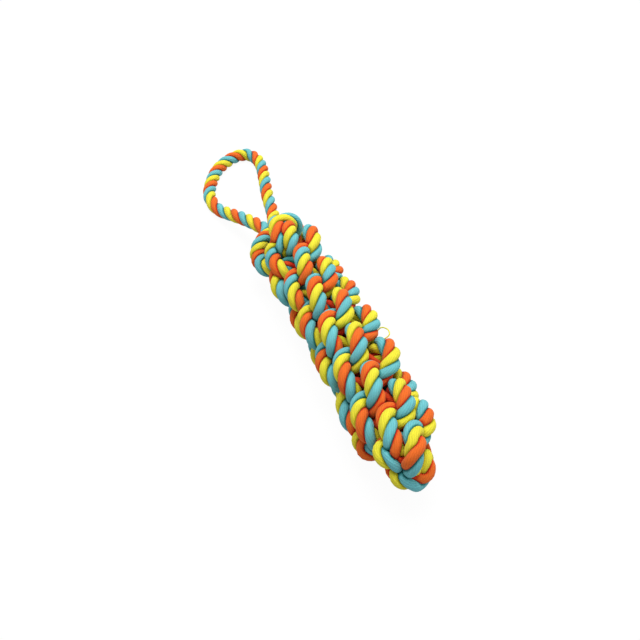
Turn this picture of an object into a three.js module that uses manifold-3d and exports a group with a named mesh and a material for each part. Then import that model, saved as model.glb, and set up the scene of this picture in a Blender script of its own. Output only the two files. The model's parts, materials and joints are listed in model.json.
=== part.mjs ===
// A rope dog toy: two three-strand ropes crowned round and round into a stout bar, with a loop
// handle at one end and a short hairpin of rope closing the other.
// Millimetres, +Z up. The bar lies along X, its handle towards -X and its closed end towards +X.
import * as THREE from "three";
import { mergeVertices } from "three/addons/utils/BufferGeometryUtils.js";
import Module from "manifold-3d";

// Rope
const ropeDiameter = 9; // free rope, as in the handle
const crestDiameter = 8.6; // rope on the outside of a stitch
const layDiameter = 7.3; // rope hauled tight across the inside of the weave
const ropeGap = 0.3; // clearance between neighbouring stretches of rope
const floorFlat = 0.9; // depth pressed flat where the bar lies on the floor

// Weave: four working ends, each stitched over its neighbour once a round
const workingEnds = 4;
const rounds = 13;
const roundTurn = 142.4; // degrees that a working end moves round the bar in one round
const roundRise = 1.725; // weave units that it climbs the bar in one round
const firstStitchAngle = -100; // degrees from +Y towards +Z to the first stitch of end 0
const leftLegEnd = 3; // the working ends that come down from the handle's two legs
const rightLegEnd = 1;
const crossBackEnd = 0; // the two ends of the rope that crosses between the legs
const crossFrontEnd = 2;

// Collar and closed end: places in the rope's route, counted in weave units
const collarT = 0.2; // how far before its first crest a working end joins its collar turn
const shoulderTop = 1.5; // from the first crest to the top of the collar's rope

// Routes as distance from the bar's axis and distance along the bar, from the first crest or,
// for a tail, from the last
const collarRoute = [
  [1.02, -1.2],
  [1.42, -1.33],
];
const crossShoulderRoute = [
  [1.4, -1.34],
  [0.8, -1.28],
];
const crossDip = -1; // where the cross rope passes between the legs
const tailRoute = [
  [2.02, 0.36],
  [1.78, 0.58],
  [1.44, 0.62],
  [1.1, 0.56],
  [0.84, 0.5],
];

// The hairpin's points: distance to the side, height and distance along the bar, from the bar's
// axis at the last crest
const hairpinRoute = [
  [1.94, -0.36, 0.55],
  [1.62, -0.24, 1.1],
  [1.14, -0.06, 1.56],
  [0.54, 0.1, 1.8],
  [-0.16, 0.2, 1.8],
  [-0.72, 0.24, 1.58],
];

// Handle: the swing axis crosses the legs where they leave the bar, and the fold axis crosses them
// where they come down to the floor
const legGap = 2; // between the two legs where they leave the bar
const foldReach = 56.4; // from the swing axis to the fold axis
const leftFoldSide = -28.2;
const rightFoldSide = 9.8;

// A leg's points: share of the way to the fold axis, share of the way to its side there, and lift,
// from 0 lying on the floor to 1 at the height of the bar's axis
const legRoute = [
  [0.17, 0.1, 0.9],
  [0.43, 0.35, 0.63],
  [0.72, 0.68, 0.28],
  [0.9, 0.89, 0.06],
];

// The bow's points: distance out from the fold axis and distance to the side
const bowRoute = [
  [12, -29.4],
  [20, -27.8],
  [32, -22.2],
  [43, -14.7],
  [50, -5.7],
  [53.8, 3.8],
  [52.5, 12.3],
  [45, 16.8],
  [34, 17.2],
  [20, 14.4],
];

// Facets
const sides = 8;
const stepsPerRound = 10;
const collarSteps = 6;
const crossSteps = 8;
const tailSteps = 6;
const hairpinSteps = 8;
const legSteps = 12;
const bowSteps = 30;
const ballRings = 3;

const degrees = Math.PI / 180;
const ropeRadius = ropeDiameter / 2;
const legSide = (ropeDiameter + legGap) / 2;
const last = rounds - 1; // the crest that ends the weave

// One stitch and lay, for t from one crest to the next. Radius and rise are in weave units, the
// distance between two crossing ropes, and the angle is in radians.
function weavePoint(t) {
  const a = 2 * Math.PI * t;
  return {
    radius: 1.5745 + 0.62 * Math.cos(a) - 0.0565 * Math.cos(2 * a) - 0.025 * Math.cos(3 * a),
    angle: (roundTurn * t - 20.5 * Math.sin(a) + 0.86 * Math.sin(2 * a)) * degrees,
    rise: roundRise * t + 0.82 * Math.sin(a) - 0.0715 * Math.sin(2 * a),
  };
}

// The rope is fullest on a crest and squeezed in the lay.
function wovenRadius(t) {
  const crest = Math.max(0, Math.cos(2 * Math.PI * t));
  return layDiameter / 2 + ((crestDiameter - layDiameter) / 2) * crest;
}

function onBar(radius, angle, along) {
  return new THREE.Vector3(along, radius * Math.cos(angle), radius * Math.sin(angle));
}

// The weave unit is the least one at which no two ropes come nearer than the gap.
function measureWeaveUnit() {
  const fine = 40;
  const reach = 3 * fine;
  const sameRope = 0.4;
  let unit = 0;
  for (let i = 0; i < fine; i++) {
    const t = i / fine;
    const here = weavePoint(t);
    const place = onBar(here.radius, here.angle, here.rise);
    for (let end = 0; end < workingEnds; end++) {
      for (let j = -reach; j < reach; j++) {
        const u = j / fine;
        if (end === 0 && Math.abs(u - t) < sameRope) continue;
        const other = weavePoint(u);
        const turned = other.angle + (2 * Math.PI * end) / workingEnds;
        const apart = place.distanceTo(onBar(other.radius, turned, other.rise));
        unit = Math.max(unit, (wovenRadius(t) + wovenRadius(u) + ropeGap) / apart);
      }
    }
  }
  return unit;
}

const weaveUnit = measureWeaveUnit();
const axisHeight = weavePoint(0).radius * weaveUnit + crestDiameter / 2 - floorFlat;
const swingAlong = -shoulderTop * weaveUnit - layDiameter / 2 - ropeGap - ropeRadius;
const restHeight = ropeRadius * Math.cos(Math.PI / sides);

function firstAngle(end) {
  return (firstStitchAngle + (360 / workingEnds) * end) * degrees;
}

// A smooth line through chosen points, taken at even steps.
function smooth(points, steps) {
  return new THREE.CatmullRomCurve3(points, false, "centripetal").getSpacedPoints(steps);
}

// A station along a rope is its place and the rope's radius there.
function ropeAlong(points, radius) {
  return points.map((at) => ({ at, radius }));
}

function wovenStation(end, t) {
  const point = weavePoint(t);
  const at = onBar(point.radius * weaveUnit, firstAngle(end) + point.angle, point.rise * weaveUnit);
  return { at, radius: wovenRadius(t) };
}

function wovenStations(end) {
  const count = Math.round((last + collarT) * stepsPerRound);
  const step = (last + collarT) / count;
  return Array.from({ length: count + 1 }, (_, i) => wovenStation(end, step * i - collarT));
}

// From below a leg's ball, out over the shoulder, up to the first stitch.
function collarStations(end, rootAngle) {
  const stub = swingAlong + ropeRadius + ropeGap;
  const points = [onBar(legSide, rootAngle, stub)];
  for (const [out, along] of collarRoute) {
    points.push(onBar(out * weaveUnit, rootAngle, along * weaveUnit));
  }
  points.push(wovenStation(end, -collarT).at);
  return ropeAlong(smooth(points, collarSteps), layDiameter / 2).slice(0, -1);
}

// Between the two first stitches of the cross rope, dipping between the legs.
function crossStations() {
  const shoulder = (end) => {
    const points = [wovenStation(end, -collarT).at];
    for (const [out, along] of crossShoulderRoute) {
      points.push(onBar(out * weaveUnit, firstAngle(end), along * weaveUnit));
    }
    return points;
  };
  const middle = onBar(0, 0, crossDip * weaveUnit);
  const points = [...shoulder(crossBackEnd), middle, ...shoulder(crossFrontEnd).reverse()];
  return ropeAlong(smooth(points, crossSteps), layDiameter / 2).slice(1, -1);
}

// From a last stitch in towards the bar's axis.
function tailStations(end) {
  const { angle, rise } = weavePoint(last);
  const points = [wovenStation(end, last).at];
  for (const [out, along] of tailRoute) {
    points.push(onBar(out * weaveUnit, firstAngle(end) + angle, (rise + along) * weaveUnit));
  }
  return ropeAlong(smooth(points, tailSteps), layDiameter / 2).slice(1);
}

// From the last stitch of the closing end, over the end of the bar to its far side.
function hairpinStations(end) {
  const { rise } = weavePoint(last);
  const points = [wovenStation(end, last).at];
  for (const [side, height, along] of hairpinRoute) {
    points.push(new THREE.Vector3(rise + along, side, height).multiplyScalar(weaveUnit));
  }
  return ropeAlong(smooth(points, hairpinSteps), layDiameter / 2).slice(1);
}

function tangentsOf(stations) {
  return stations.map((_, i) => {
    const before = stations[Math.max(0, i - 1)].at;
    const after = stations[Math.min(stations.length - 1, i + 1)].at;
    return after.clone().sub(before).normalize();
  });
}

// A closed tube through stations, with flat or ball ends and its faces out.
function ropeGeometry(stations, tangents, ballEnds) {
  const rings = [];
  const normal = new THREE.Vector3(0, 0, 1);
  const along = tangents[0];
  normal.addScaledVector(along, -normal.dot(along)).normalize();
  const addRing = (centre, tangent, radius) => {
    const across = tangent.clone().cross(normal);
    for (let j = 0; j < sides; j++) {
      const a = (2 * Math.PI * (j + 0.5)) / sides;
      const point = centre.clone().addScaledVector(normal, radius * Math.cos(a));
      rings.push(point.addScaledVector(across, radius * Math.sin(a)));
    }
  };
  const addBallRing = (station, tangent, step) => {
    const a = ((Math.PI / 2) * step) / ballRings;
    const centre = station.at.clone().addScaledVector(tangent, station.radius * Math.sin(a));
    addRing(centre, tangent, station.radius * Math.cos(a));
  };
  const final = stations.length - 1;
  for (let step = 1 - ballRings; ballEnds && step < 0; step++) {
    addBallRing(stations[0], tangents[0], step);
  }
  stations.forEach((station, i) => {
    const turn = new THREE.Quaternion().setFromUnitVectors(tangents[Math.max(0, i - 1)], tangents[i]);
    normal.applyQuaternion(turn).normalize();
    addRing(station.at, tangents[i], station.radius);
  });
  for (let step = 1; ballEnds && step < ballRings; step++) {
    addBallRing(stations[final], tangents[final], step);
  }
  const pole = (i, way) =>
    stations[i].at.clone().addScaledVector(tangents[i], ballEnds ? way * stations[i].radius : 0);
  const points = [...rings, pole(0, -1), pole(final, 1)];
  const top = rings.length - sides;
  const faces = [];
  for (let j = 0; j < sides; j++) {
    const next = (j + 1) % sides;
    faces.push(rings.length, next, j);
    for (let ring = 0; ring < top; ring += sides) {
      const above = ring + sides;
      faces.push(ring + j, ring + next, above + j, ring + next, above + next, above + j);
    }
    faces.push(rings.length + 1, top + j, top + next);
  }
  return new THREE.BufferGeometry().setFromPoints(points).setIndex(faces);
}

// One stretch of a rope's route, cut square and short of its neighbours by half the gap.
function stretch(route, from, to) {
  const tangents = tangentsOf(route).slice(from, to + 1);
  const stations = route.slice(from, to + 1).map(({ at, radius }) => ({ at: at.clone(), radius }));
  stations[0].at.addScaledVector(tangents[0], ropeGap / 2);
  stations.at(-1).at.addScaledVector(tangents.at(-1), -ropeGap / 2);
  return ropeGeometry(stations, tangents, false);
}

const wasm = await Module();
wasm.setup();

function solidOf(geometry) {
  const bare = geometry.clone();
  bare.deleteAttribute("normal");
  bare.deleteAttribute("uv");
  const merged = mergeVertices(bare);
  const mesh = new wasm.Mesh({
    numProp: 3,
    vertProperties: merged.attributes.position.array,
    triVerts: new Uint32Array(merged.index.array),
  });
  return new wasm.Manifold(mesh);
}

// A stretch of the bar, pressed flat where it reaches the floor.
function pressedFlat(geometry) {
  const size = 2 * (weavePoint(rounds).rise + shoulderTop) * weaveUnit;
  const floor = new THREE.BoxGeometry(size, size, size).translate(0, 0, -axisHeight - size / 2);
  const mesh = solidOf(geometry).subtract(solidOf(floor)).getMesh();
  return new THREE.BufferGeometry()
    .setAttribute("position", new THREE.BufferAttribute(mesh.vertProperties, 3))
    .setIndex(new THREE.BufferAttribute(mesh.triVerts, 1));
}

const yellow = 0xf3e533;
const orange = 0xf16222;
const turquoise = 0x52b4c4;

function addRope(group, name, geometry, color) {
  geometry.computeVertexNormals();
  const material = new THREE.MeshStandardMaterial({ color, roughness: 0.9, metalness: 0 });
  const mesh = new THREE.Mesh(geometry, material);
  mesh.name = name;
  group.add(mesh);
}

// The woven bar
const bar = new THREE.Group();
const alongBar = new THREE.Vector3(1, 0, 0);

// The rope of the handle: each leg turns over the collar and is stitched down the bar
const leftCollar = collarStations(leftLegEnd, Math.PI);
const leftWoven = wovenStations(leftLegEnd);
const leftRoute = [...leftCollar, ...leftWoven, ...tailStations(leftLegEnd)];
const rightCollar = collarStations(rightLegEnd, 0);
const rightWoven = wovenStations(rightLegEnd);
const rightRoute = [...rightCollar, ...rightWoven, ...tailStations(rightLegEnd)];

function collarTurn(route, count) {
  const stations = route.slice(0, count + 1);
  const tangents = tangentsOf(route).slice(0, count + 1);
  tangents[0] = alongBar;
  stations[count] = { ...stations[count], at: stations[count].at.clone() };
  stations[count].at.addScaledVector(tangents[count], -ropeGap / 2);
  return ropeGeometry(stations, tangents, false);
}

const leftStart = leftCollar.length;
const leftEnd = leftStart + leftWoven.length - 1;
addRope(bar, "collar_turn_left", pressedFlat(collarTurn(leftRoute, leftStart)), orange);
addRope(bar, "woven_end_left_leg", pressedFlat(stretch(leftRoute, leftStart, leftEnd)), turquoise);
addRope(bar, "tucked_tail_left_leg", pressedFlat(stretch(leftRoute, leftEnd, leftRoute.length - 1)), yellow);

const rightStart = rightCollar.length;
const rightEnd = rightStart + rightWoven.length - 1;
addRope(bar, "collar_turn_right", pressedFlat(collarTurn(rightRoute, rightStart)), yellow);
addRope(bar, "woven_end_right_leg", pressedFlat(stretch(rightRoute, rightStart, rightEnd)), orange);
addRope(bar, "tucked_tail_right_leg", pressedFlat(stretch(rightRoute, rightEnd, rightRoute.length - 1)), yellow);

// The cross rope: its middle lies between the legs and both its ends are stitched down the bar,
// where the front one closes the end
const backTail = tailStations(crossBackEnd).reverse();
const backWoven = wovenStations(crossBackEnd).reverse();
const crossMiddle = crossStations();
const frontWoven = wovenStations(crossFrontEnd);
const hairpin = hairpinStations(crossFrontEnd);
const crossRoute = [...backTail, ...backWoven, ...crossMiddle, ...frontWoven, ...hairpin];
const backEnd = backTail.length;
const backStart = backEnd + backWoven.length - 1;
const frontStart = backStart + crossMiddle.length + 1;
const frontEnd = frontStart + frontWoven.length - 1;
addRope(bar, "tucked_tail_cross_back", pressedFlat(stretch(crossRoute, 0, backEnd)), turquoise);
addRope(bar, "woven_end_cross_back", pressedFlat(stretch(crossRoute, backEnd, backStart)), yellow);
addRope(bar, "cross_rope_bight", pressedFlat(stretch(crossRoute, backStart, frontStart)), turquoise);
addRope(bar, "woven_end_cross_front", pressedFlat(stretch(crossRoute, frontStart, frontEnd)), orange);
addRope(bar, "closing_hairpin", pressedFlat(stretch(crossRoute, frontEnd, crossRoute.length - 1)), orange);
bar.position.z = axisHeight;

// The handle, with its legs turning in balls at the collar and the bow folding on the legs' balls
const handle = new THREE.Group();

function addLeg(name, rootSide, foldSide, color) {
  const points = [[0, 0, 1], ...legRoute, [1, 1, 0]].map(([out, side, lift]) => {
    const height = restHeight + lift * (axisHeight - restHeight);
    return new THREE.Vector3(-out * foldReach, rootSide + side * (foldSide - rootSide), height);
  });
  const stations = ropeAlong(smooth(points, legSteps), ropeRadius);
  addRope(handle, name, ropeGeometry(stations, tangentsOf(stations), true), color);
}

addLeg("handle_leg_left", -legSide, leftFoldSide, yellow);
addLeg("handle_leg_right", legSide, rightFoldSide, turquoise);

const bowStart = ropeRadius + ropeGap;
const bowPoints = [[bowStart, leftFoldSide], ...bowRoute, [bowStart, rightFoldSide]].map(
  ([out, side]) => new THREE.Vector3(-foldReach - out, side, restHeight),
);
const bowStations = ropeAlong(smooth(bowPoints, bowSteps), ropeRadius);
const bowTangents = tangentsOf(bowStations);
bowTangents[0] = alongBar.clone().negate();
bowTangents[bowSteps] = alongBar;
addRope(handle, "handle_bow", ropeGeometry(bowStations, bowTangents, false), orange);
handle.position.x = swingAlong;

// The toy stands with the middle of its base at the origin
const toy = new THREE.Group();
toy.add(bar, handle);
const middle = new THREE.Box3().setFromObject(toy, true).getCenter(new THREE.Vector3());
for (const group of [bar, handle]) {
  group.position.x -= middle.x;
  group.position.y -= middle.y;
}

const swing = [handle.position.x, handle.position.y, axisHeight].map((v) => v.toFixed(3));
const fold = [handle.position.x - foldReach, handle.position.y, restHeight].map((v) => v.toFixed(3));
console.log("weave unit", weaveUnit.toFixed(3), "handle swings at", swing, "and folds at", fold);

export default toy;
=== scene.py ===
"""A rope dog toy: two ropes of three coloured cotton strands, crowned into a bar with a loop handle."""

import json
import math

import bpy
import numpy as np
from bpy.props import FloatProperty, FloatVectorProperty, IntProperty, PointerProperty
from bpy.types import Operator, Panel, PropertyGroup
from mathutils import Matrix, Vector, kdtree


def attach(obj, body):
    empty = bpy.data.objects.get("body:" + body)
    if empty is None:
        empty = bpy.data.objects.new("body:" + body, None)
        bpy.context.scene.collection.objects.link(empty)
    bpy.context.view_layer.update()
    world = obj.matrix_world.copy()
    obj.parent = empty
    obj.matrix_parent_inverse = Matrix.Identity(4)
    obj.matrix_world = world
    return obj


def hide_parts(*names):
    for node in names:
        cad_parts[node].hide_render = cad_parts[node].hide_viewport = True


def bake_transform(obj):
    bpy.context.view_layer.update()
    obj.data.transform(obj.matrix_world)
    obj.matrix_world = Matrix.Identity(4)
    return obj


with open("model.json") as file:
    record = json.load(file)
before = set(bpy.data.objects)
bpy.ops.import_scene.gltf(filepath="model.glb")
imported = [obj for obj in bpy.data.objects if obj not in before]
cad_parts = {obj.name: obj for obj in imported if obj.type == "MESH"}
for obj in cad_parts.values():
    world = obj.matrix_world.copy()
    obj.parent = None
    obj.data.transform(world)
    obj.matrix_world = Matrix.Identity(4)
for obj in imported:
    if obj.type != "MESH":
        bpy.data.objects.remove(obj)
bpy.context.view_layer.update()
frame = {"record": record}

bl_info = {
    "name": "Rope dog toy",
    "version": (1, 0, 0),
    "blender": (4, 5, 0),
    "location": "3D View > Sidebar > Rope Toy",
    "description": "Lays three-colour cotton rope, crowns it into a bar and leaves a loop for a handle",
    "category": "Object",
}

hinges = {joint["name"]: joint for joint in frame["record"]["behaviour"]["joints"]}
swing_axis = np.array(hinges["handle_swing"]["pos_m"])
fold_axis = np.array(hinges["handle_fold"]["pos_m"])

# The four working ends of the weave, numbered round the bar
cross_back, right_leg, cross_front, left_leg = range(4)

# Strands in their order round a rope, the angle between them, and the record's slots for them
strand_colours = ("yellow", "orange", "turquoise")
strand_count = len(strand_colours)
strand_turn = 2 * math.pi / strand_count
turquoise = strand_colours.index("turquoise")

# The form of a stitch: its mean distance from the bar's axis, and the waves of one, two and three
# to a round in that distance, round the bar and along it, in weave units and degrees
mean_radius = 1.5745
radius_waves = (0.62, -0.0565, -0.025)
sway_waves = (-20.5, 0.86)
rise_waves = (0.82, -0.0715)

# Rounds from a crest in which the rope stays full, and those in which it is then hauled tight
full_rounds = 0.2
hauled_rounds = 0.28

# Places in a round, how near a place is to a mark that it takes, and where an end is cut inside
# the weave, both in rounds
places_per_round = 20
mark_reach = 0.026
tuck_at = 0.6

# How each leg goes from its root into the weave, and the cross rope from over the right leg: the
# route, in weave units to the side, up and along the bar from the bar's axis at the first crests,
# and where it joins the weave, in rounds
start_routes = {
    left_leg: (((-1.35, 0.15, -1.9), (-1.75, 0.4, -1.5)), -0.2),
    right_leg: (
        (
            (0.1, 0.3, -2),
            (0.15, 0.85, -1.35),
            (0.05, 1.5, -0.75),
            (-0.11, 1.95, -0.2),
            (-0.26, 2, 0.72),
            (-0.4, 1.7, 1.4),
            (-0.3, 1, 1.5),
            (-0.1, 0.6, 1.1),
            (-0.25, 0.75, 0.6),
        ),
        0.7,
    ),
    cross_front: (
        (
            (0.61, 1.48, -1.38),
            (-0.04, 1.9, -1.22),
            (-0.7, 1.98, -0.84),
            (-1, 1.9, -0.13),
            (-1.15, 1.58, 0.63),
            (-1.14, 0.95, 0.96),
        ),
        0.5,
    ),
    cross_back: (((1, 0.75, -1.6), (1.15, 0.1, -1.7), (1.1, -0.5, -1.6)), -0.2),
}

# Places of these routes: on the right leg's float, where that leg is cut as it dives into the
# weave, and on the cross rope's hump
float_place = 4
dive_place = 6
hump_place = 3

# How each end leaves the weave: where its last stitch or lay ends, in rounds, and the route of
# its tail or of the closing hairpin, in weave units to the side, up and along the bar from the
# bar's axis at the last crests
end_routes = {
    cross_back: (
        11.1,
        (
            (0.95, 1, -1),
            (0.2, 0.95, -1),
            (-0.7, 0.9, -1.2),
            (-1.4, 0.85, -1.3),
            (-1.72, 0.92, -1),
            (-1.65, 1, -0.5),
            (-1.2, 0.8, -0.05),
            (-0.65, 0.45, 0),
            (-0.25, 0.15, -0.4),
        ),
    ),
    right_leg: (11.7, ((-0.5, -1.2, -0.95), (-0.3, -0.8, -0.6), (-0.1, -0.4, -0.7))),
    left_leg: (12, ((-0.42, 1.85, 0.47), (-0.6, 1.2, 0.7), (-0.5, 0.6, 0.5), (-0.3, 0.1, 0))),
    cross_front: (
        11.05,
        (
            (-0.85, -0.45, -1.75),
            (-0.2, -0.5, -1.25),
            (0.3, -0.35, -0.9),
            (0.55, -0.05, -0.5),
            (0.65, 0.1, 0),
            (0.58, -0.09, 0.44),
            (0.39, -0.47, 0.78),
            (-0.21, -0.48, 0.95),
            (-0.88, -0.04, 0.94),
            (-1.18, 0.06, 0.59),
            (-1.25, 0.1, 0.16),
            (-1.14, 0.05, -0.24),
            (-0.7, -0.1, -0.6),
        ),
    ),
}

# Places of these routes: where the hairpin turns, and where the back end's tail shows beside it.
# The hairpin's lay closes up and opens again over so many places from its turn
hairpin_turn = 7
tail_place = 5
hairpin_wave = 3

# Stitches that lie off their regular place, by working end and stitch: weave units outwards,
# degrees round the bar and weave units along it
stitch_shifts = {
    (cross_back, 0): (0, 60, 0),
    (left_leg, 0): (0.6, 14, 0.3),
    (cross_back, 1): (0.2, 14, -0.5),
    (right_leg, 1): (0.05, 25, -0.12),
    (left_leg, 2): (0, 6, 0.2),
    (cross_back, 2): (0.2, 0, 0),
    (right_leg, 3): (0, 6, -0.1),
    (cross_front, 3): (0, 5, 0.3),
    (left_leg, 4): (0.1, 0, -0.4),
    (cross_back, 6): (0.3, 0, -0.3),
    (right_leg, 8): (0.35, -9, -0.35),
    (right_leg, 9): (0.1, 0, 0.5),
    (cross_back, 11): (0, 8, -0.6),
    (cross_front, 11): (0.1, -4, -0.95),
    (left_leg, 12): (0, 12, 0),
}

# The legs' routes: share of the way to the fold axis, share of the way to its side there, and
# lift, from 0 lying on the floor to 1 at the height of the root
leg_routes = {
    left_leg: (
        (0, 0, 1),
        (0.17, 0.1, 0.9),
        (0.43, 0.35, 0.63),
        (0.72, 0.68, 0.28),
        (0.9, 0.89, 0.06),
        (1, 1, 0),
    ),
    right_leg: (
        (0, 0, 1),
        (0.15, 0.1, 0.72),
        (0.3, 0.27, 0.42),
        (0.45, 0.46, 0.17),
        (0.6, 0.66, 0.04),
        (1, 1, 0),
    ),
}

# The bow's route in metres: distance out from the fold axis and distance to the side
bow_route = (
    (0.012, -0.0294),
    (0.02, -0.0278),
    (0.032, -0.0222),
    (0.043, -0.0147),
    (0.05, -0.0057),
    (0.0538, 0.0038),
    (0.0525, 0.0123),
    (0.045, 0.0168),
    (0.034, 0.0172),
    (0.02, 0.0144),
)

# The loop of loose yarn: distance from the bar's axis in weave units, degrees round the bar and
# weave units along it from the first crests
loose_yarn_route = (
    (2.3, 32, 11.3),
    (2.7, 30, 11.2),
    (2.95, 31, 11.5),
    (3.05, 33, 11.9),
    (2.95, 35, 12.25),
    (2.6, 36, 12.3),
    (2.2, 36, 12.1),
)

# The strand that lies outermost on a stitch, by working end and then by stitch, counted in the
# order in which the strands come up along the end: turquoise 0, then 1 and 2
stitch_strands = {
    cross_back: {1: 1.3, 2: 1.9, 4: 1.5, 6: 1.9, 7: 1.5, 9: 2, 11: 0.6},
    right_leg: {1: 0.3, 3: 2.5, 6: 2, 8: 1.5, 9: 0, 11: 2.5},
    cross_front: {3: 0.5, 5: 2.5, 8: 1.5, 10: 2, 11: 1.4},
    left_leg: {0: 2.2, 2: 0.5, 4: 2.4, 5: 2, 7: 2, 10: 1.5, 12: 1.4},
}

# The direction that the shown side of the toy faces
shown_side = (0.59, -0.26, 0.77)

# The strand that faces a direction elsewhere, by the mark of the place: its direction and the
# strand's number, where a half lies between two strands
facing_strands = {
    "left_root": (shown_side, 2.15),
    "bow": ((0, 0, 1), 0),
    "right_fold": ((0, 0, 1), 0.4),
    "right_collar": (shown_side, 2.1),
    "right_float": (shown_side, 0),
    "hump": (shown_side, 1),
    (cross_front, "end", hairpin_turn): ((0.6, -0.25, 0.75), 1.35),
    (cross_back, "end", tail_place): ((0.1, -0.8, 0.6), 2.45),
}

# Where strands press together: how much of its own strand a ring is free of, in strand radii, the
# smallest share of its radius that a ring keeps, and a length too small to count, in metres
own_reach = 6
least_share = 0.1
tiny = 1e-9

# Painted shade inside the bar, where the dye turns to its darker shade colour: the distance from the
# axis at which that starts, the distance over which it grows, and how far it reaches before the
# first crests and stops before the last ones, in weave units
inner_shade_start = 2
inner_shade_fade = 0.8
inner_shade_before = 1
inner_shade_short = 0.5

# The look of cotton: scales of the noise that lets the yarns wander, makes the fibres and fades the
# dye in patches, how far the yarns wander, how high the fibres stand, the count of the yarns and
# the range of the roughness
wander_scale = 260
fibre_scale = 2600
patch_scale = 90
yarn_wander = 0.05
fibre_height = 0.5
yarns_round_strand = 12
roughness = (0.82, 0.98)

# From how dark to how light the patches, yarns and fibres make the dye, and the painted shade that
# darkens the grooves between yarns, and the limits of the fibres, grooves and creases between which
# it changes; the darkening in the grooves and creases is painted shade
patch_tones = (0.9, 1.08)
yarn_tones = (0.94, 1.05)
fibre_tones = (0.9, 1.08)
fibre_limits = (0.3, 0.7)
groove_shade_tones = (0.86, 1)
groove_shade_limits = (0, 0.6)
crease_shade_limits = (0.1, 1)

# The floor: its width, its grey, its glow where it is seen, and the share of that glow, where the
# rest is the lit floor with its shadow
floor_width = 8
floor_grey = 0.5
floor_glow = 1.06
glow_share = 0.9

# The lamps: place, width and power in watts
lamps = {
    "overhead_lamp": ((-0.25, 0.12, 0.9), 0.6, 7.8),
    "side_lamp": ((0.5, 0.6, 0.7), 0.7, 1.6),
}


class RopeSettings(PropertyGroup):
    """Sizes of the laid rope."""

    handle_diameter: FloatProperty(
        name="Handle rope",
        description="Diameter of the free rope in the handle",
        default=0.009,
        unit="LENGTH",
    )
    stitch_diameter: FloatProperty(
        name="Stitch rope",
        description="Diameter of the rope where it swells on the outside of a stitch",
        default=0.01,
        unit="LENGTH",
    )
    inner_diameter: FloatProperty(
        name="Inner rope",
        description="Diameter of the rope where it is hauled tight inside the weave",
        default=0.0084,
        unit="LENGTH",
    )
    lay_length: FloatProperty(
        name="Lay length",
        description="Length of rope in which a strand goes once round",
        default=0.0255,
        unit="LENGTH",
    )
    strand_share: FloatProperty(
        name="Strand share",
        description="Radius of a strand as a share of the rope's radius",
        default=0.53,
    )
    centre_share: FloatProperty(
        name="Strand centre",
        description="Distance from the rope's middle to a strand's, as a share of the rope's radius",
        default=0.5,
    )
    yarn_turn: FloatProperty(
        name="Yarn turn",
        description="Turns that a strand's yarns make against the lay in one lay length",
        default=1.7,
    )
    yarn_diameter: FloatProperty(
        name="Yarn",
        description="Diameter of a single yarn where one is pulled loose",
        default=0.0007,
        unit="LENGTH",
    )
    crease: FloatProperty(
        name="Crease",
        description="Clearance where two strands press on each other",
        default=0.00006,
        unit="LENGTH",
    )
    # Painted shade: the strand's dye is darkened near a crease, over this width
    crease_shade_width: FloatProperty(
        name="Crease width",
        description="Distance from a crease within which a strand's dye looks darker",
        default=0.0013,
        unit="LENGTH",
    )
    step: FloatProperty(
        name="Step",
        description="Distance between the rings of a strand's mesh",
        default=0.001,
        unit="LENGTH",
    )
    sides: IntProperty(
        name="Sides",
        description="Points round a strand's mesh",
        default=22,
    )


class WeaveSettings(PropertyGroup):
    """Sizes of the crowned bar."""

    unit: FloatProperty(
        name="Weave unit",
        description="Distance between two crossing ropes",
        default=0.008142,
        unit="LENGTH",
    )
    rounds: IntProperty(name="Rounds", description="Stitches along each working end", default=13)
    round_turn: FloatProperty(
        name="Round turn",
        description="Angle that a working end moves round the bar in one round",
        default=math.radians(142.4),
        subtype="ANGLE",
    )
    round_rise: FloatProperty(
        name="Round rise",
        description="Weave units that a working end climbs the bar in one round",
        default=1.725,
    )
    first_stitch_angle: FloatProperty(
        name="First stitch",
        description="Angle of the first stitch of the cross rope's back end",
        default=math.radians(-100),
        subtype="ANGLE",
    )
    collar_reach: FloatProperty(
        name="Collar reach",
        description="Distance along the bar from the handle's swing axis to the first crest",
        default=0.020663,
        unit="LENGTH",
    )
    bight_lay: FloatProperty(
        name="Bight lay length",
        description="Length of rope in which a strand goes once round over the right leg",
        default=0.032,
        unit="LENGTH",
    )
    hairpin_twist: FloatProperty(
        name="Hairpin twist",
        description="Angle by which the lay closes up before and after the hairpin's turn",
        default=0.7,
        subtype="ANGLE",
    )
    crest_twist: FloatProperty(
        name="Crest twist",
        description="Angle by which the lay closes up before and after the middle of a stitch",
        default=0.4,
        subtype="ANGLE",
    )


class HandleSettings(PropertyGroup):
    """Sizes of the loop handle."""

    left_root: FloatVectorProperty(
        name="Left root",
        description="Side and height, from the bar's axis, at which the left leg leaves the bar",
        size=2,
        default=(-0.009, 0),
        unit="LENGTH",
    )
    right_root: FloatVectorProperty(
        name="Right root",
        description="Side and height, from the bar's axis, at which the right leg leaves the bar",
        size=2,
        default=(-0.0015, -0.0015),
        unit="LENGTH",
    )
    bow_lay: FloatProperty(
        name="Bow lay length",
        description="Length of rope in which a strand goes once round in the bow",
        default=0.0204,
        unit="LENGTH",
    )
    right_lay: FloatProperty(
        name="Right leg lay length",
        description="Length of rope in which a strand goes once round in the right leg",
        default=0.0235,
        unit="LENGTH",
    )
    collar_lay: FloatProperty(
        name="Collar lay length",
        description="Length of rope in which a strand goes once round in the left leg's first stitch",
        default=0.015,
        unit="LENGTH",
    )
    left_fold_side: FloatProperty(
        name="Left fold side",
        description="Place of the left leg along the fold axis",
        default=-0.0282,
        unit="LENGTH",
    )
    right_fold_side: FloatProperty(
        name="Right fold side",
        description="Place of the right leg along the fold axis",
        default=0.0098,
        unit="LENGTH",
    )
    splice: FloatProperty(
        name="Splice",
        description="Share of a leg's length at which the leg's rope meets the bow's",
        default=0.55,
    )
    bend: FloatProperty(
        name="Bend",
        description="Length of rope that bends on each side of a hinge",
        default=0.011,
        unit="LENGTH",
    )


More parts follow.
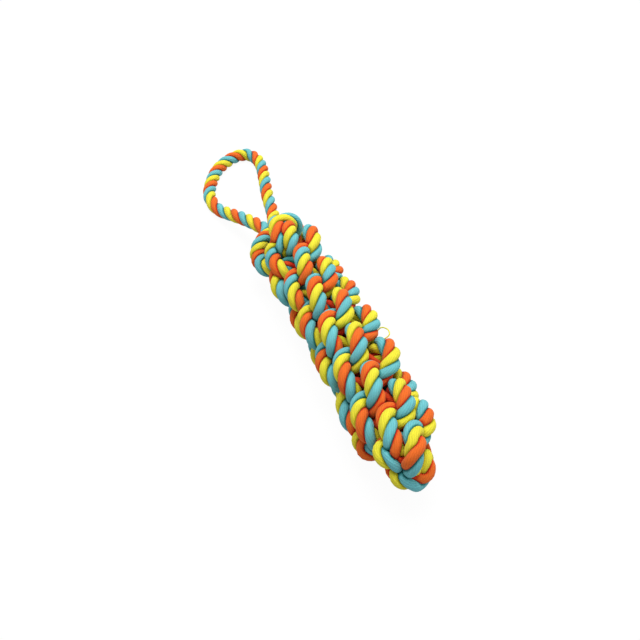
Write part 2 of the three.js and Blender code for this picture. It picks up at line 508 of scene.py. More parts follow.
class ColourSettings(PropertyGroup):
    """Dyes of the three cotton strands, and the painted shade colour of each for its creases and the
    weave's inside.
    """

    yellow: FloatVectorProperty(
        name="Yellow",
        description="Colour of the yellow strand",
        subtype="COLOR",
        default=(0.83, 0.755, 0.045),
    )
    orange: FloatVectorProperty(
        name="Orange",
        description="Colour of the orange strand",
        subtype="COLOR",
        default=(0.81, 0.15, 0.02),
    )
    turquoise: FloatVectorProperty(
        name="Turquoise",
        description="Colour of the turquoise strand",
        subtype="COLOR",
        default=(0.15, 0.51, 0.555),
    )
    # Painted shade: darker colours that stand in for the shade in the creases between strands and inside
    # the weave
    painted_shade_yellow: FloatVectorProperty(
        name="Painted shade yellow",
        description="Colour of the yellow strand in the creases and inside the weave",
        subtype="COLOR",
        default=(0.5, 0.46, 0.008),
    )
    painted_shade_orange: FloatVectorProperty(
        name="Painted shade orange",
        description="Colour of the orange strand in the creases and inside the weave",
        subtype="COLOR",
        default=(0.64, 0.018, 0.006),
    )
    painted_shade_turquoise: FloatVectorProperty(
        name="Painted shade turquoise",
        description="Colour of the turquoise strand in the creases and inside the weave",
        subtype="COLOR",
        default=(0.008, 0.2, 0.195),
    )


class StageSettings(PropertyGroup):
    """Camera and light."""

    azimuth: FloatProperty(
        name="Azimuth",
        description="Direction of the camera round the toy",
        default=math.radians(66.4),
        subtype="ANGLE",
    )
    elevation: FloatProperty(
        name="Elevation",
        description="Height of the camera above the horizon",
        default=math.radians(50),
        subtype="ANGLE",
    )
    distance: FloatProperty(
        name="Distance",
        description="Distance from the camera to the point it looks at",
        default=0.3902,
        unit="LENGTH",
    )
    look_at: FloatVectorProperty(
        name="Look at",
        description="Point that the camera looks at, from the middle of the handle's swing axis",
        subtype="TRANSLATION",
        default=(0.0993, 0, 0.0002),
    )
    lens: FloatProperty(name="Lens", description="Focal length in millimetres", default=38.45)
    shift: FloatVectorProperty(
        name="Shift",
        description="Shift of the picture, as a share of its width",
        size=2,
        default=(-0.0322, 0.023),
    )
    daylight: FloatProperty(name="Daylight", description="Strength of the light all round", default=0.5)


class RopeToySettings(PropertyGroup):
    """All the sizes and colours of the toy."""

    rope: PointerProperty(type=RopeSettings)
    weave: PointerProperty(type=WeaveSettings)
    handle: PointerProperty(type=HandleSettings)
    colours: PointerProperty(type=ColourSettings)
    stage: PointerProperty(type=StageSettings)


# Routes of the ropes


def on_bar(radius, angle, along):
    """A point of the bar, from its distance to the axis, its angle from +Y and its place along."""
    reach = bpy.context.scene.rope_toy.weave.collar_reach
    offset = np.array([reach + along, radius * math.cos(angle), radius * math.sin(angle)])
    return swing_axis + offset


def smooth_step(x):
    """From 0 to 1 and level at both."""
    x = min(1, max(0, x))
    return x * x * (3 - 2 * x)


def first_angle(end):
    """Angle of a working end's first crest, a quarter turn on from the end before."""
    weave = bpy.context.scene.rope_toy.weave
    return weave.first_stitch_angle + math.radians(90) * end


def stitch_shift(end, t):
    """How far a stitch is drawn from its regular place: outwards, in degrees and along."""
    weave = bpy.context.scene.rope_toy.weave
    last = weave.rounds - 1
    crest = round(min(max(t, 0), last))
    share = math.cos(math.pi * (t - crest)) ** 2 if 0 < t < last else 1
    return [share * part for part in stitch_shifts.get((end, crest), (0, 0, 0))]


def waves(sizes, wave, a):
    """The sum of waves of one, two and more to a round."""
    return sum(size * wave(number * a) for number, size in enumerate(sizes, 1))


def weave_place(end, t):
    """The middle of a working end's rope, at t rounds from its first crest."""
    weave = bpy.context.scene.rope_toy.weave
    a = 2 * math.pi * t
    out, turn, on = stitch_shift(end, t)
    radius = out + mean_radius + waves(radius_waves, math.cos, a)
    sway = math.radians(turn + waves(sway_waves, math.sin, a))
    rise = on + weave.round_rise * t + waves(rise_waves, math.sin, a)
    angle = first_angle(end) + weave.round_turn * t + sway
    return on_bar(radius * weave.unit, angle, rise * weave.unit)


def woven_radius(t):
    """Radius of the rope in the weave: full on a crest and hauled tight inside."""
    rope = bpy.context.scene.rope_toy.rope
    crest = 1 - smooth_step((abs(t - round(t)) - full_rounds) / hauled_rounds)
    return (rope.inner_diameter + (rope.stitch_diameter - rope.inner_diameter) * crest) / 2


class Route:
    """Places chosen along a rope, with its radius and the turn added to its lay at each, and the
    marked ones among them."""

    def __init__(self):
        self.places = []
        self.radii = []
        self.twists = []
        self.marks = {}

    def add(self, place, radius, twist=0):
        self.places.append(place)
        self.radii.append(radius)
        self.twists.append(twist)

    def mark(self, name, back=0):
        """Names the place that is added next, or one so many places back from it."""
        self.marks[name] = len(self.places) - back

    def weave(self, end, first, last):
        """Follows a working end from one t to another, up or down the bar."""
        twist = bpy.context.scene.rope_toy.weave.crest_twist
        if last < first:
            twist = -twist
        count = round(abs(last - first) * places_per_round)
        for t in np.linspace(first, last, count + 1):
            crest = round(t)
            if abs(t - crest) < mark_reach:
                self.mark((end, crest))
            if abs(t - tuck_at) < mark_reach:
                self.mark((end, "tuck"))
            self.add(weave_place(end, t), woven_radius(t), twist * math.sin(2 * math.pi * t))

    def finish_end(self, end, backwards):
        """Follows a working end over or into the end of the bar, or back from there."""
        toy = bpy.context.scene.rope_toy
        places = list(enumerate(end_places(end)))
        for number, place in reversed(places) if backwards else places:
            self.mark((end, "end", number))
            twist = 0
            if end == cross_front:
                from_turn = (number - hairpin_turn) * math.pi / hairpin_wave
                twist = toy.weave.hairpin_twist * math.sin(from_turn)
            self.add(place, toy.rope.stitch_diameter / 2, twist)


def route_places(route, crest):
    """Places of a route given to the side, up and along from the bar's axis at a crest."""
    weave = bpy.context.scene.rope_toy.weave
    middle = on_bar(0, 0, weave.round_rise * crest * weave.unit)
    return [middle + weave.unit * np.array([along, side, height]) for side, height, along in route]


def end_places(end):
    """From where an end leaves the weave, over or into the end of the bar."""
    _, route = end_routes[end]
    return route_places(route, bpy.context.scene.rope_toy.weave.rounds - 1)


def leg_places(end, root, fold_side):
    """From a leg's root to the fold axis."""
    root_side, root_height = root
    places = []
    for out, side, lift in leg_routes[end]:
        x = swing_axis[0] + out * (fold_axis[0] - swing_axis[0])
        y = swing_axis[1] + root_side + side * (fold_side - root_side)
        z = fold_axis[2] + lift * (swing_axis[2] + root_height - fold_axis[2])
        places.append(np.array([x, y, z]))
    return places


def loop_route():
    """The rope of the handle, from its left leg's tail, round the loop, to its right leg's."""
    toy = bpy.context.scene.rope_toy
    full = toy.rope.handle_diameter / 2
    route = Route()
    route.finish_end(left_leg, backwards=True)
    start, joins = start_routes[left_leg]
    route.weave(left_leg, end_routes[left_leg][0], joins)
    for place in reversed(route_places(start, 0)):
        route.add(place, full)
    route.mark("left_root")
    for place in leg_places(left_leg, toy.handle.left_root, toy.handle.left_fold_side):
        route.add(place, full)
    route.mark("bow")
    for out, across in bow_route:
        route.add(fold_axis + np.array([-out, across, 0]), full)
    route.mark("right_bow", back=1)
    route.mark("right_fold")
    for place in reversed(leg_places(right_leg, toy.handle.right_root, toy.handle.right_fold_side)):
        route.add(place, full)
    route.mark("right_collar")
    start, joins = start_routes[right_leg]
    for number, place in enumerate(route_places(start, 0)):
        if number == float_place:
            route.mark("right_float")
        if number == dive_place:
            route.mark((right_leg, "tuck"))
        route.add(place, toy.rope.stitch_diameter / 2)
    route.weave(right_leg, joins, end_routes[right_leg][0])
    route.finish_end(right_leg, backwards=False)
    return route


def cross_route():
    """The cross rope, from the closing hairpin, over the right leg, to its back end's tail."""
    toy = bpy.context.scene.rope_toy
    full = toy.rope.stitch_diameter / 2
    route = Route()
    route.finish_end(cross_front, backwards=True)
    start, joins = start_routes[cross_front]
    route.weave(cross_front, end_routes[cross_front][0], joins)
    for number, place in reversed(list(enumerate(route_places(start, 0)))):
        if number == hump_place:
            route.mark("hump")
        route.add(place, full)
    start, joins = start_routes[cross_back]
    for place in route_places(start, 0):
        route.add(place, full)
    route.weave(cross_back, joins, end_routes[cross_back][0])
    route.finish_end(cross_back, backwards=False)
    return route


# Ropes along their routes


def smooth_line(places):
    """A smooth line through the places, with the count of places passed at each of its points."""
    per_place = 12
    ends = [2 * places[0] - places[1], *places, 2 * places[-1] - places[-2]]
    share = np.linspace(0, 1, per_place, endpoint=False)[:, None]
    line = []
    for a, b, c, d in zip(ends, ends[1:], ends[2:], ends[3:]):
        knots = np.cumsum([0] + [math.sqrt(np.linalg.norm(q - p)) for p, q in ((a, b), (b, c), (c, d))])
        at = knots[1] + share * (knots[2] - knots[1])
        ab = a + (b - a) * (at - knots[0]) / (knots[1] - knots[0])
        bc = b + (c - b) * (at - knots[1]) / (knots[2] - knots[1])
        cd = c + (d - c) * (at - knots[2]) / (knots[3] - knots[2])
        abc = ab + (bc - ab) * (at - knots[0]) / (knots[2] - knots[0])
        bcd = bc + (cd - bc) * (at - knots[1]) / (knots[3] - knots[1])
        line.append(abc + (bcd - abc) * (at - knots[1]) / (knots[2] - knots[1]))
    line.append(places[-1][None])
    passed = np.arange((len(places) - 1) * per_place + 1) / per_place
    return np.concatenate(line), passed


def carried_normals(points, tangents):
    """Normals carried along a line without twist."""
    normal = np.cross(tangents[0], [0.0, 1.0, 0.0])
    normals = []
    for i in range(len(points)):
        normal = normal - tangents[i] * np.dot(normal, tangents[i])
        normal = normal / np.linalg.norm(normal)
        normals.append(normal)
    return np.array(normals)


class LaidRope:
    """A rope laid along a route: rings of its three strands, at even steps."""

    def __init__(self, route):
        rope = bpy.context.scene.rope_toy.rope
        line, passed = smooth_line(route.places)
        gone = np.concatenate([[0], np.cumsum(np.linalg.norm(np.diff(line, axis=0), axis=1))])
        count = round(gone[-1] / rope.step)
        self.along = np.linspace(0, gone[-1], count + 1)
        self.middle = np.stack([np.interp(self.along, gone, line[:, k]) for k in range(3)], 1)
        self.passed = np.interp(self.along, gone, passed)
        self.radius = np.interp(self.passed, np.arange(len(route.radii)), route.radii)
        self.tangent = np.gradient(self.middle, axis=0)
        self.tangent /= np.linalg.norm(self.tangent, axis=1)[:, None]
        self.normal = carried_normals(self.middle, self.tangent)
        self.across = np.cross(self.tangent, self.normal)
        self.marks = route.marks
        twist = np.interp(self.passed, np.arange(len(route.twists)), route.twists)
        self.lay_turn = self.turn_of_lay() + twist
        self.strand_radius = self.radius * rope.strand_share
        self.strands, self.rings = self.lay_strands()
        self.clearance = np.full(self.rings.shape[:3], self.radius.max())

    def station(self, mark):
        """The ring at a marked place."""
        return int(np.argmin(np.abs(self.passed - self.marks[mark])))

    def chosen_strands(self):
        """The rings where a strand is chosen, with the direction it faces and its number."""
        chosen = []
        for end, stitches in stitch_strands.items():
            for crest, strand in stitches.items():
                if (end, crest) in self.marks:
                    ring = self.station((end, crest))
                    outward = (self.middle[ring] - swing_axis) * (0, 1, 1)
                    from_tail = end in (left_leg, cross_front)
                    number = turquoise + strand if from_tail else turquoise - strand
                    chosen.append((ring, outward, number))
        for mark, (outward, strand) in facing_strands.items():
            if mark in self.marks:
                chosen.append((self.station(mark), outward, strand))
        return sorted(chosen, key=lambda choice: choice[0])

    def turn_of_lay(self):
        """Angle of the first strand along the rope, set so that the chosen strands face their way,
        and at the rope's own lay between them."""
        toy = bpy.context.scene.rope_toy
        lay = np.full(len(self.along), toy.rope.lay_length)
        if "bow" in self.marks:
            lay[self.station((left_leg, 0)) : self.station("left_root")] = toy.handle.collar_lay
            lay[self.station("bow") : self.station("right_bow")] = toy.handle.bow_lay
            lay[self.station("right_bow") : self.station("right_collar")] = toy.handle.right_lay
        else:
            lay[self.station("hump") : self.station((cross_back, 1))] = toy.weave.bight_lay
        turned = np.cumsum(2 * math.pi / lay) * (self.along[1] - self.along[0])
        places = []
        turns = []
        for ring, outward, strand in self.chosen_strands():
            facing = math.atan2(np.dot(outward, self.across[ring]), np.dot(outward, self.normal[ring]))
            turn = facing - strand * strand_turn
            expected = turns[-1] + turned[ring] - places[-1] if turns else turn
            turns.append(turn + 2 * math.pi * round((expected - turn) / (2 * math.pi)))
            places.append(turned[ring])
        before = turns[0] - places[0] + turned[0]
        after = turns[-1] - places[-1] + turned[-1]
        return np.interp(turned, [turned[0], *places, turned[-1]], [before, *turns, after])

    def lay_strands(self):
        """Middle lines of the three strands and rings of points round them."""
        rope = bpy.context.scene.rope_toy.rope
        round_strand = np.arange(rope.sides) * 2 * math.pi / rope.sides
        strands = []
        rings = []
        for index in range(strand_count):
            turn = self.lay_turn + index * strand_turn
            outward = np.cos(turn)[:, None] * self.normal + np.sin(turn)[:, None] * self.across
            strand = self.middle + rope.centre_share * self.radius[:, None] * outward
            ahead = np.gradient(strand, axis=0)
            sideways = np.cross(ahead, outward)
            sideways /= np.linalg.norm(sideways, axis=1)[:, None]
            ring = np.cos(round_strand)[None, :, None] * outward[:, None]
            ring = ring + np.sin(round_strand)[None, :, None] * sideways[:, None]
            strands.append(strand)
            rings.append(strand[:, None] + self.strand_radius[:, None, None] * ring)
        return np.stack(strands, 1), np.stack(rings, 1)


def press_together(ropes):
    """Flattens each strand where it presses on another, each up to the plane between the two, and
    notes how near each point comes to such a plane. The floor flattens strands too."""
    crease = bpy.context.scene.rope_toy.rope.crease
    widest = max(rope.strand_radius.max() for rope in ropes)
    places = np.concatenate([rope.strands.reshape(-1, 3) for rope in ropes])
    radii = np.concatenate([np.repeat(rope.strand_radius, strand_count) for rope in ropes])
    along = np.concatenate([np.repeat(rope.along, strand_count) for rope in ropes])
    owners = []
    for number, rope in enumerate(ropes):
        owners.append(np.tile(strand_count * number + np.arange(strand_count), len(rope.along)))
    owner = np.concatenate(owners)
    tree = kdtree.KDTree(len(places))
    for i, place in enumerate(places):
        tree.insert(place, i)
    tree.balance()
    start = 0
    for rope in ropes:
        count = strand_count * len(rope.along)
        rings = rope.rings.reshape(count, -1, 3)
        clearance = rope.clearance.reshape(count, -1)
        for i in range(count):
            here = start + i
            found = tree.find_range(places[here], radii[here] + widest)
            near = np.array([index for _, index, _ in found])
            away = np.abs(along[near] - along[here])
            near = near[(owner[near] != owner[here]) | (away >= own_reach * widest)]
            ring = rings[i] - places[here]
            gaps = places[near] - places[here]
            apart = np.linalg.norm(gaps, axis=1)
            plane = (apart**2 + (radii[here] - crease) ** 2 - radii[near] ** 2) / (2 * apart)
            towards = ring @ (gaps / apart[:, None]).T
            share = np.where(towards > tiny, plane / np.maximum(towards, tiny), 1).min(1)
            share = np.clip(share, least_share, 1)
            rings[i] = places[here] + ring * share[:, None]
            clearance[i] = (plane - towards * share[:, None]).min(1)
        rings[..., 2] = np.maximum(rings[..., 2], 0)
        start += count


laid = {}


def laid_rope(name):
    """The loop rope or the cross rope, laid and pressed the first time either is asked for."""
    if not laid:
        laid["loop"] = LaidRope(loop_route())
        laid["cross"] = LaidRope(cross_route())
        press_together(list(laid.values()))
    return laid[name]


# Meshes


def strand_mesh(rope, index, first, last):
    """Points, faces, map and creases of one strand between two rings, closed at both ends. The creases
    are a mask of painted shade: darker near a crease between strands and inside the bar.
    """
    settings = bpy.context.scene.rope_toy.rope
    sides = settings.sides
    rings = rope.rings[first : last + 1, index]
    count = len(rings)
    points = np.concatenate([rings.reshape(-1, 3), rings[[0, -1]].mean(1)])
    faces = []
    maps = []
    turns = rope.along[first : last + 1] / settings.lay_length
    yarn = settings.yarn_turn * turns
    for ring in range(count - 1):
        low = ring * sides
        for side in range(sides):
            after = (side + 1) % sides
            faces.append((low + side, low + after, low + sides + after, low + sides + side))
            u = side / sides
            v = (side + 1) / sides
            maps += [(u + yarn[ring], turns[ring]), (v + yarn[ring], turns[ring])]
            maps += [(v + yarn[ring + 1], turns[ring + 1]), (u + yarn[ring + 1], turns[ring + 1])]
    top = (count - 1) * sides
    for side in range(sides):
        after = (side + 1) % sides
        faces.append((count * sides, after, side))
        faces.append((count * sides + 1, top + side, top + after))
        maps += [(0, turns[0])] * 3 + [(0, turns[-1])] * 3
    # Painted shade: 1 where a strand is darkened in a crease or inside the bar, 0 where it is not
    crease = 1 - rope.clearance[first : last + 1, index] / settings.crease_shade_width
    crease = np.concatenate([crease.reshape(-1), [1, 1]])
    crease = np.maximum(crease, inner_shade(points))
    return points, faces, maps, np.clip(crease, 0, 1)


def inner_shade(points):
    """Painted shade inside the bar: 0 on its stitches and beyond its ends, 1 near its axis."""
    weave = bpy.context.scene.rope_toy.weave
    offset = (points - on_bar(0, 0, 0)) / weave.unit
    out = np.hypot(offset[:, 1], offset[:, 2])
    last = weave.round_rise * (weave.rounds - 1)
    from_ends = np.minimum(offset[:, 0] + inner_shade_before, last - inner_shade_short - offset[:, 0])
    return np.clip((inner_shade_start - out) / inner_shade_fade, 0, 1) * np.clip(from_ends, 0, 1)


def strand_object(name, strands):
    """One object from strands given as pairs of a strand's mesh and its colour's name."""
    points = []
    faces = []
    maps = []
    creases = []
    materials = []
    for number, ((more, more_faces, more_maps, crease), _) in enumerate(strands):
        start = sum(len(part) for part in points)
        points.append(more)
        faces += [tuple(corner + start for corner in face) for face in more_faces]
        maps += more_maps
        creases.append(crease)
        materials += [number] * len(more_faces)
    mesh = bpy.data.meshes.new(name)
    mesh.from_pydata(np.concatenate(points).tolist(), [], faces)
    mesh.polygons.foreach_set("material_index", materials)
    mesh.polygons.foreach_set("use_smooth", [len(face) == 4 for face in faces])
    layer = mesh.uv_layers.new(name="yarn")
    layer.data.foreach_set("uv", np.array(maps, np.float32).ravel())
    # The mask of painted shade in creases and inside the bar
    mesh.attributes.new("crease", "FLOAT", "POINT").data.foreach_set("value", np.concatenate(creases))
    for _, colour in strands:
        mesh.materials.append(cotton(colour))
    mesh.update()
    piece = bpy.data.objects.new(name, mesh)
    bpy.context.collection.objects.link(piece)
    return piece


def rope_object(name, rope, first, last):
    """A stretch of rope as one object with its three strands."""
    strands = []
    for index, colour in enumerate(strand_colours):
        strands.append((strand_mesh(rope, index, first, last), colour))
    return strand_object(name, strands)


def strand_objects(name, rope, first, last):
    """A stretch of rope as three objects, one for each strand."""
    pieces = []
    for index, colour in enumerate(strand_colours):
        piece = strand_object(name + "_" + colour, [(strand_mesh(rope, index, first, last), colour)])
        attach(piece, "woven_bar")
        pieces.append(piece)
    return pieces


# Cotton


def yarn_group():
    """Node group of twisted cotton yarn: colour with painted shade, roughness and height over a strand's
    map.
    """
    if "cotton_yarn" in bpy.data.node_groups:
        return bpy.data.node_groups["cotton_yarn"]
    group = bpy.data.node_groups.new("cotton_yarn", "ShaderNodeTree")
    for name, way, kind in (
        ("Dye", "INPUT", "Color"),
        ("Painted shade dye", "INPUT", "Color"),
        ("Yarns", "INPUT", "Float"),
        ("Color", "OUTPUT", "Color"),
        ("Roughness", "OUTPUT", "Float"),
        ("Height", "OUTPUT", "Float"),
    ):
        group.interface.new_socket(name, in_out=way, socket_type="NodeSocket" + kind)
    nodes = group.nodes
    links = group.links

    def node(kind, **settings):
        made = nodes.new(kind)
        for key, value in settings.items():
            setattr(made, key, value)
        return made

    def math_node(operation, *values):
        made = node("ShaderNodeMath", operation=operation)
        for socket, value in zip(made.inputs, values):
            if isinstance(value, (int, float)):
                socket.default_value = value
            else:
                links.new(value, socket)
        return made.outputs[0]

    def noise(scale, detail):
        made = node("ShaderNodeTexNoise")
        made.inputs["Scale"].default_value = scale
        made.inputs["Detail"].default_value = detail
        links.new(place.outputs["Object"], made.inputs["Vector"])
        return made.outputs["Fac"]

    def ranged(value, results, limits=(0, 1), kind="LINEAR"):
        made = node("ShaderNodeMapRange", interpolation_type=kind)
        for name, number in zip(("From Min", "From Max", "To Min", "To Max"), (*limits, *results)):
            made.inputs[name].default_value = number
        links.new(value, made.inputs["Value"])
        return made.outputs[0]

    given = node("NodeGroupInput")
    result = node("NodeGroupOutput")
    place = node("ShaderNodeTexCoord")
    crease = node("ShaderNodeAttribute", attribute_name="crease")
    yarn_map = node("ShaderNodeUVMap", uv_map="yarn")
    split = node("ShaderNodeSeparateXYZ")
    links.new(yarn_map.outputs["UV"], split.inputs[0])
    fibre = noise(fibre_scale, detail=3)

    swayed = math_node("MULTIPLY_ADD", noise(wander_scale, detail=2), yarn_wander, split.outputs["X"])
    count = math_node("MULTIPLY", swayed, given.outputs["Yarns"])
    ridge = math_node("ABSOLUTE", math_node("SINE", math_node("MULTIPLY", count, math.pi)))
    tint = node("ShaderNodeTexWhiteNoise", noise_dimensions="1D")
    links.new(math_node("FLOOR", count), tint.inputs["W"])

    # The patches, yarns and fibres vary the dye at random; the grooves between yarns are painted shade
    tone = ranged(noise(patch_scale, detail=2), patch_tones)
    for other in (
        ranged(tint.outputs["Value"], yarn_tones),
        ranged(fibre, fibre_tones, fibre_limits),
        ranged(ridge, groove_shade_tones, groove_shade_limits),
    ):
        tone = math_node("MULTIPLY", tone, other)

    # Painted shade: the dye turns to its shade colour in creases and inside the bar
    painted_shade_mix = node("ShaderNodeMixRGB")
    links.new(ranged(crease.outputs["Fac"], (0, 1), crease_shade_limits, "SMOOTHSTEP"), painted_shade_mix.inputs["Fac"])
    links.new(given.outputs["Dye"], painted_shade_mix.inputs["Color1"])
    links.new(given.outputs["Painted shade dye"], painted_shade_mix.inputs["Color2"])
    dyed = node("ShaderNodeHueSaturation")
    links.new(tone, dyed.inputs["Value"])
    links.new(painted_shade_mix.outputs["Color"], dyed.inputs["Color"])
    links.new(dyed.outputs["Color"], result.inputs["Color"])
    links.new(ranged(fibre, roughness), result.inputs["Roughness"])
    links.new(math_node("MULTIPLY_ADD", fibre, fibre_height, ridge), result.inputs["Height"])
    return group


def cotton(colour):
    """Material of one dyed cotton strand, with painted shade in its creases and inside the bar."""
    name = colour + "_yarn"
    if name in bpy.data.materials:
        return bpy.data.materials[name]
    colours = bpy.context.scene.rope_toy.colours
    dye = getattr(colours, colour)
    # The painted shade colour, mixed in where the strand lies in a crease or inside the bar
    painted_shade_dye = getattr(colours, "painted_shade_" + colour)
    pale_dye = [0.5 + 0.5 * part for part in dye]
    material = bpy.data.materials.new(name)
    material.use_nodes = True
    nodes = material.node_tree.nodes
    links = material.node_tree.links
    shader = nodes["Principled BSDF"]
    shader.inputs["Specular IOR Level"].default_value = 0.15
    shader.inputs["Sheen Weight"].default_value = 0.12
    shader.inputs["Sheen Roughness"].default_value = 0.5
    shader.inputs["Sheen Tint"].default_value = (*pale_dye, 1)
    yarn = nodes.new("ShaderNodeGroup")
    yarn.node_tree = yarn_group()
    yarn.inputs["Dye"].default_value = (*dye, 1)
    yarn.inputs["Painted shade dye"].default_value = (*painted_shade_dye, 1)
    yarn.inputs["Yarns"].default_value = yarns_round_strand
    bump = nodes.new("ShaderNodeBump")
    bump.inputs["Strength"].default_value = 0.5
    bump.inputs["Distance"].default_value = 0.00025
    links.new(yarn.outputs["Height"], bump.inputs["Height"])
    links.new(yarn.outputs["Color"], shader.inputs["Base Color"])
    links.new(yarn.outputs["Roughness"], shader.inputs["Roughness"])
    links.new(bump.outputs["Normal"], shader.inputs["Normal"])
    return material


# Pieces


class ROPETOY_OT_handle_bow(Operator):
    """Lays the outer half of the loop, beyond the middle of the handle's legs"""

    bl_idname = "ropetoy.handle_bow"
    bl_label = "Handle bow"

    def execute(self, context):
        rope = laid_rope("loop")
        first, last = splices(rope)
        bow = rope_object("handle_bow_rope", rope, first, last)
        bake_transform(bow)
        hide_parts("handle_bow")
        return {"FINISHED"}


class ROPETOY_OT_handle_legs(Operator):
    """Lays the two legs of the loop from the handle down over the collar and into the weave"""

    bl_idname = "ropetoy.handle_legs"
    bl_label = "Handle legs"

    def execute(self, context):
        rope = laid_rope("loop")
        left, right = splices(rope)
        for side, colour, first, last in (
            ("left", "yellow", tuck(rope, left_leg), left),
            ("right", "turquoise", right, tuck(rope, right_leg)),
        ):
            leg = rope_object("handle_leg_rope_" + side, rope, first, last)
            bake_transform(leg)
            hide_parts("handle_leg_" + side, "collar_turn_" + side)
        return {"FINISHED"}


class ROPETOY_OT_woven_loop_rope(Operator):
    """Lays the two ends of the loop rope down the bar to their tucked tails"""

    bl_idname = "ropetoy.woven_loop_rope"
    bl_label = "Woven loop rope"

    def execute(self, context):
        rope = laid_rope("loop")
        left = strand_objects("woven_rope_left_leg", rope, 0, tuck(rope, left_leg))
        right = strand_objects("woven_rope_right_leg", rope, tuck(rope, right_leg), len(rope.middle) - 1)
        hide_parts("woven_end_left_leg", "tucked_tail_left_leg")
        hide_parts("woven_end_right_leg", "tucked_tail_right_leg")
        return {"FINISHED"}


class ROPETOY_OT_cross_rope(Operator):
    """Lays the rope that crosses over the right leg, with both its ends woven down the bar, one to
    a tucked tail and one over the end as the closing hairpin"""

    bl_idname = "ropetoy.cross_rope"
    bl_label = "Cross rope"

    def execute(self, context):
        rope = laid_rope("cross")
        middle = tuck(rope, cross_back)
        front = strand_objects("cross_rope_front", rope, 0, middle)
        back = strand_objects("cross_rope_back", rope, middle, len(rope.middle) - 1)
        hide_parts("woven_end_cross_front", "closing_hairpin", "cross_rope_bight")
        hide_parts("woven_end_cross_back", "tucked_tail_cross_back")
        return {"FINISHED"}


class ROPETOY_OT_loose_yarn(Operator):
    """Draws the loop of yellow yarn that is pulled loose from the side of the bar"""

    bl_idname = "ropetoy.loose_yarn"
    bl_label = "Loose yarn"

    def execute(self, context):
        toy = context.scene.rope_toy
        unit = toy.weave.unit
        places = []
        for radius, angle, along in loose_yarn_route:
            places.append(on_bar(radius * unit, math.radians(angle), along * unit))
        line, _ = smooth_line(places)
        curve = bpy.data.curves.new("loose_yarn", "CURVE")
        curve.dimensions = "3D"
        curve.bevel_depth = toy.rope.yarn_diameter / 2
        spline = curve.splines.new("POLY")
        spline.points.add(len(line) - 1)
        spline.points.foreach_set("co", np.c_[line, np.ones(len(line))].ravel())
        drawn = bpy.data.objects.new("loose_yarn_line", curve)
        mesh = bpy.data.meshes.new_from_object(drawn)
        bpy.data.objects.remove(drawn)
        mesh.materials.clear()
        mesh.materials.append(cotton("yellow"))
        yarn = bpy.data.objects.new("loose_yarn", mesh)
        context.collection.objects.link(yarn)
        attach(yarn, "woven_bar")
        return {"FINISHED"}


def splices(rope):
    """The rings at which the legs' rope meets the bow's."""
    share = bpy.context.scene.rope_toy.handle.splice
    left_root = rope.station("left_root")
    bow = rope.station("bow")
    right_fold = rope.station("right_fold")
    right_root = rope.station("right_collar")
    left = round(left_root + share * (bow - left_root))
    right = round(right_root - share * (right_root - right_fold))
    return left, right


def tuck(rope, end):
    """The ring, hidden inside the weave after a working end's first stitch, at which it is cut."""
    return rope.station((end, "tuck"))


# Stage


class ROPETOY_OT_stage(Operator):
    """Sets the floor, the light and the camera"""

    bl_idname = "ropetoy.stage"
    bl_label = "Stage"

    def execute(self, context):
        make_floor()
        make_light()
        make_camera()
        return {"FINISHED"}


def seen_rays(tree):
    """Socket that is 1 where the background is seen straight, in a gloss or through glass."""
    rays = tree.nodes.new("ShaderNodeLightPath")
    seen = rays.outputs["Is Camera Ray"]
    for name in ("Is Glossy Ray", "Is Transmission Ray"):
        either = tree.nodes.new("ShaderNodeMath")
        either.operation = "MAXIMUM"
        tree.links.new(seen, either.inputs[0])
        tree.links.new(rays.outputs[name], either.inputs[1])
        seen = either.outputs[0]
    return seen


def make_floor():
    """A floor that looks white and keeps the toy's shadow."""
    bpy.ops.object.select_all(action="DESELECT")
    bpy.ops.mesh.primitive_plane_add(size=floor_width)
    floor = bpy.context.object
    floor.name = "floor"
    material = bpy.data.materials.new("white_floor")
    material.use_nodes = True
    nodes = material.node_tree.nodes
    links = material.node_tree.links
    shader = nodes["Principled BSDF"]
    shader.inputs["Base Color"].default_value = (floor_grey, floor_grey, floor_grey, 1)
    shader.inputs["Roughness"].default_value = 1
    shader.inputs["Specular IOR Level"].default_value = 0
    glow = nodes.new("ShaderNodeEmission")
    glow.inputs["Strength"].default_value = floor_glow
    share = nodes.new("ShaderNodeMath")
    share.operation = "MULTIPLY"
    share.inputs[1].default_value = glow_share
    mix = nodes.new("ShaderNodeMixShader")
    links.new(seen_rays(material.node_tree), share.inputs[0])
    links.new(share.outputs[0], mix.inputs["Fac"])
    links.new(shader.outputs[0], mix.inputs[1])
    links.new(glow.outputs[0], mix.inputs[2])
    links.new(mix.outputs[0], nodes["Material Output"].inputs["Surface"])
    floor.data.materials.append(material)


def make_light():
    """Daylight all round, a background that is seen white, and the lamps."""
    scene = bpy.context.scene
    world = bpy.data.worlds.new("studio")
    world.use_nodes = True
    backdrop = world.node_tree.nodes["Background"]
    strength = world.node_tree.nodes.new("ShaderNodeMix")
    strength.inputs["A"].default_value = scene.rope_toy.stage.daylight
    strength.inputs["B"].default_value = 1
    world.node_tree.links.new(seen_rays(world.node_tree), strength.inputs["Factor"])
    world.node_tree.links.new(strength.outputs["Result"], backdrop.inputs["Strength"])
    backdrop.inputs["Color"].default_value = (1, 1, 1, 1)
    scene.world = world
    for name, (place, size, power) in lamps.items():
        bpy.ops.object.light_add(type="AREA", location=place)
        lamp = bpy.context.object
        lamp.name = name
        lamp.data.size = size
        lamp.data.energy = power
        lamp.rotation_euler = (-Vector(place)).to_track_quat("-Z", "Y").to_euler()


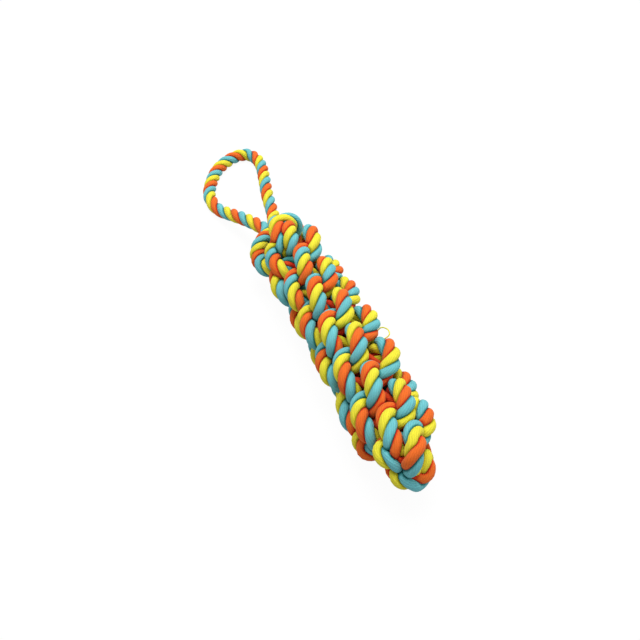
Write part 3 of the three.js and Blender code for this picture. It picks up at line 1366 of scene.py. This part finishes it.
def make_camera():
    """The camera, from its direction and its distance to the point it looks at."""
    stage = bpy.context.scene.rope_toy.stage
    level = math.cos(stage.elevation)
    x = math.sin(stage.azimuth) * level
    y = -math.cos(stage.azimuth) * level
    back = Vector((x, y, math.sin(stage.elevation)))
    place = Vector(swing_axis) + Vector(stage.look_at) + back * stage.distance
    bpy.ops.object.camera_add(location=place)
    camera = bpy.context.object
    camera.name = "camera"
    camera.rotation_euler = (-back).to_track_quat("-Z", "Y").to_euler()
    camera.data.lens = stage.lens
    camera.data.shift_x, camera.data.shift_y = stage.shift
    camera.data.clip_start = 0.01
    bpy.context.scene.camera = camera
    bpy.context.scene.view_settings.view_transform = "Standard"


# Add-on


class ROPETOY_PT_panel(Panel):
    """Lists the toy's pieces, sizes and colours"""

    bl_idname = "ROPETOY_PT_panel"
    bl_label = "Rope Toy"
    bl_space_type = "VIEW_3D"
    bl_region_type = "UI"
    bl_category = "Rope Toy"

    def draw(self, context):
        toy = context.scene.rope_toy
        for piece in piece_operators:
            self.layout.operator(piece.bl_idname)
        for group in (toy.rope, toy.weave, toy.handle, toy.colours, toy.stage):
            box = self.layout.box()
            for name in group.__annotations__:
                box.prop(group, name)


piece_operators = (
    ROPETOY_OT_handle_bow,
    ROPETOY_OT_handle_legs,
    ROPETOY_OT_woven_loop_rope,
    ROPETOY_OT_cross_rope,
    ROPETOY_OT_loose_yarn,
    ROPETOY_OT_stage,
)
classes = (
    RopeSettings,
    WeaveSettings,
    HandleSettings,
    ColourSettings,
    StageSettings,
    RopeToySettings,
    *piece_operators,
    ROPETOY_PT_panel,
)


def register():
    for each in classes:
        bpy.utils.register_class(each)
    bpy.types.Scene.rope_toy = PointerProperty(type=RopeToySettings)


def unregister():
    del bpy.types.Scene.rope_toy
    for each in reversed(classes):
        bpy.utils.unregister_class(each)


def main():
    register()
    bpy.ops.ropetoy.stage()
    bpy.ops.ropetoy.handle_bow()
    bpy.ops.ropetoy.handle_legs()
    bpy.ops.ropetoy.woven_loop_rope()
    bpy.ops.ropetoy.cross_rope()
    bpy.ops.ropetoy.loose_yarn()


if __name__ == "__main__":
    main()
